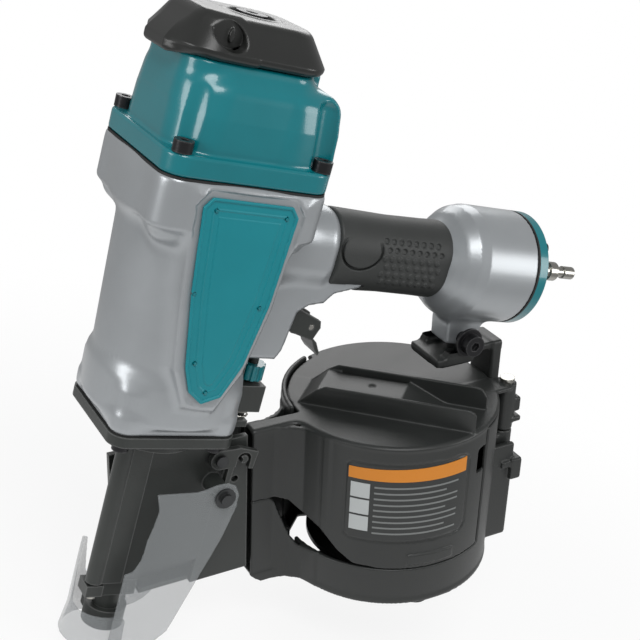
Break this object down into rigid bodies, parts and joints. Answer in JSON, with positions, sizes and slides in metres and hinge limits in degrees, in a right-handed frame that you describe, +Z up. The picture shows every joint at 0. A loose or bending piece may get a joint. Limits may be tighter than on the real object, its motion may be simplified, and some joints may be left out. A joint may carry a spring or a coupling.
{
  "type": "pneumatic coil nailer",
  "caption": "Air-powered nail gun with a barrel housing, rear handle, trigger, sliding contact foot, hinged feed door and a tilted round magazine with a swinging cover.",
  "frame": {"origin": "on the driver line at the mouth of the nosepiece", "axes": "+Z up the driver line towards the exhaust, +X towards the air plug, -Z the way a nail leaves"},
  "size_m": [0.3172, 0.132, 0.3608],
  "materials": {
    "teal_paint": "gloss",
    "silver_paint": "satin",
    "black_paint": "satin",
    "black_plastic": "textured",
    "grip_rubber": "matte",
    "seal_rubber": "matte",
    "black_screw": "black oxide",
    "steel": "bright",
    "aluminium": "machined",
    "clear_sheet": "clear plastic"
  },
  "bodies": {
    "tool": {"main_housing": "silver_paint", "side_badges": "teal_paint", "badge_rivets": "teal_paint", "cap_gasket": "seal_rubber", "cylinder_cap": "teal_paint", "cap_bolts": "black_screw", "piston_stop": "aluminium", "head_valve_spring": "steel", "deflector_washer": "black_screw", "deflector_bolt": "black_screw", "cylinder_sleeve": "aluminium", "sleeve_seals": "seal_rubber", "bumper": "seal_rubber", "handle_grip": "grip_rubber", "chamber_gasket": "seal_rubber", "chamber_cap": "teal_paint", "chamber_bolts": "black_screw", "air_plug": "steel", "valve_body": "aluminium", "valve_spring": "steel", "cheek_pins": "black_screw", "nose_gasket": "seal_rubber", "nosepiece": "black_paint", "nose_bolts": "black_screw", "door_hinge_pin": "steel", "arm_guide": "black_paint", "arm_spring": "steel", "magazine_base": "black_plastic", "strap_bolts": "steel", "cover_hinge_pin": "steel", "platform_post": "steel", "feed_cylinder_cap": "aluminium", "feed_spring": "steel", "hanger_bolt": "black_screw", "hanger_washer": "black_screw", "magazine_foot": "black_plastic"},
    "exhaust": {"exhaust_deflector": "black_plastic"},
    "valve_ring": {"head_valve": "aluminium", "head_valve_seal": "seal_rubber"},
    "driver": {"piston": "aluminium", "piston_ring": "seal_rubber", "driver_blade": "steel"},
    "trigger": {"trigger": "black_paint", "lever_pin": "steel"},
    "lever": {"trigger_lever": "steel"},
    "stem": {"valve_stem": "steel"},
    "contact": {"contact_foot": "black_paint", "contact_arm": "black_paint", "nose_shield": "clear_sheet", "shield_pins": "steel"},
    "dial": {"depth_dial": "teal_paint"},
    "door": {"feed_door": "black_paint", "side_shield": "clear_sheet", "shield_screw": "steel", "latch_pin": "steel"},
    "latch": {"door_latch": "black_paint"},
    "cover": {"canister_cover": "black_plastic"},
    "platform": {"nail_platform": "black_plastic"},
    "feeder": {"feed_piston": "aluminium", "feed_pawl": "steel"}
  },
  "joints": [
    {"name": "exhaust_swivel", "type": "hinge", "parent": "tool", "child": "exhaust", "pos_m": [0, 0, 0.335], "axis": [0, 0, 1], "continuous": true},
    {"name": "head_valve_slide", "type": "slide", "parent": "tool", "child": "valve_ring", "axis": [0, 0, 1], "range_m": [0, 0.004], "stiffness_N_per_m": 400, "springref_m": -0.004, "deforming": ["head_valve_spring"]},
    {"name": "piston_stroke", "type": "slide", "parent": "tool", "child": "driver", "axis": [0, 0, -1], "range_m": [0, 0.0955]},
    {"name": "trigger_pull", "type": "hinge", "parent": "tool", "child": "trigger", "pos_m": [0.0553, 0, 0.1945], "axis": [0, -1, 0], "range_deg": [0, 9], "stiffness_Nm_per_rad": 0.6, "springref_deg": -17.19},
    {"name": "lever_swing", "type": "hinge", "parent": "trigger", "child": "lever", "pos_m": [0.0797, 0, 0.184], "axis": [0, 1, 0], "range_deg": [0, 7]},
    {"name": "valve_stem_slide", "type": "slide", "parent": "tool", "child": "stem", "axis": [0, 0, 1], "range_m": [0, 0.002], "stiffness_N_per_m": 500, "springref_m": -0.002, "deforming": ["valve_spring"]},
    {"name": "contact_arm_slide", "type": "slide", "parent": "tool", "child": "contact", "axis": [0, 0, 1], "range_m": [0, 0.008], "stiffness_N_per_m": 700, "springref_m": -0.006, "deforming": ["arm_spring"]},
    {"name": "depth_dial_turn", "type": "hinge", "parent": "contact", "child": "dial", "pos_m": [0.0535, 0, 0.1535], "axis": [0, 0, 1], "continuous": true},
    {"name": "feed_door_hinge", "type": "hinge", "parent": "tool", "child": "door", "pos_m": [-0.015, -0.009, 0.07], "axis": [0, 0, -1], "range_deg": [0, 110]},
    {"name": "door_latch_pivot", "type": "hinge", "parent": "door", "child": "latch", "pos_m": [0.0415, -0.0126, 0.103], "axis": [0, -1, 0], "range_deg": [0, 35]},
    {"name": "canister_cover_hinge", "type": "hinge", "parent": "tool", "child": "cover", "pos_m": [0.2353, -0.02, 0.11481], "axis": [-0.2588, 0, 0.9659], "range_deg": [0, 100]},
    {"name": "nail_platform_slide", "type": "slide", "parent": "tool", "child": "platform", "axis": [-0.2588, 0, 0.9659], "range_m": [0, 0.024]},
    {"name": "feed_stroke", "type": "slide", "parent": "tool", "child": "feeder", "axis": [0.9659, 0, 0.2588], "range_m": [0, 0.008], "stiffness_N_per_m": 600, "springref_m": -0.005, "deforming": ["feed_spring"]}
  ]
}
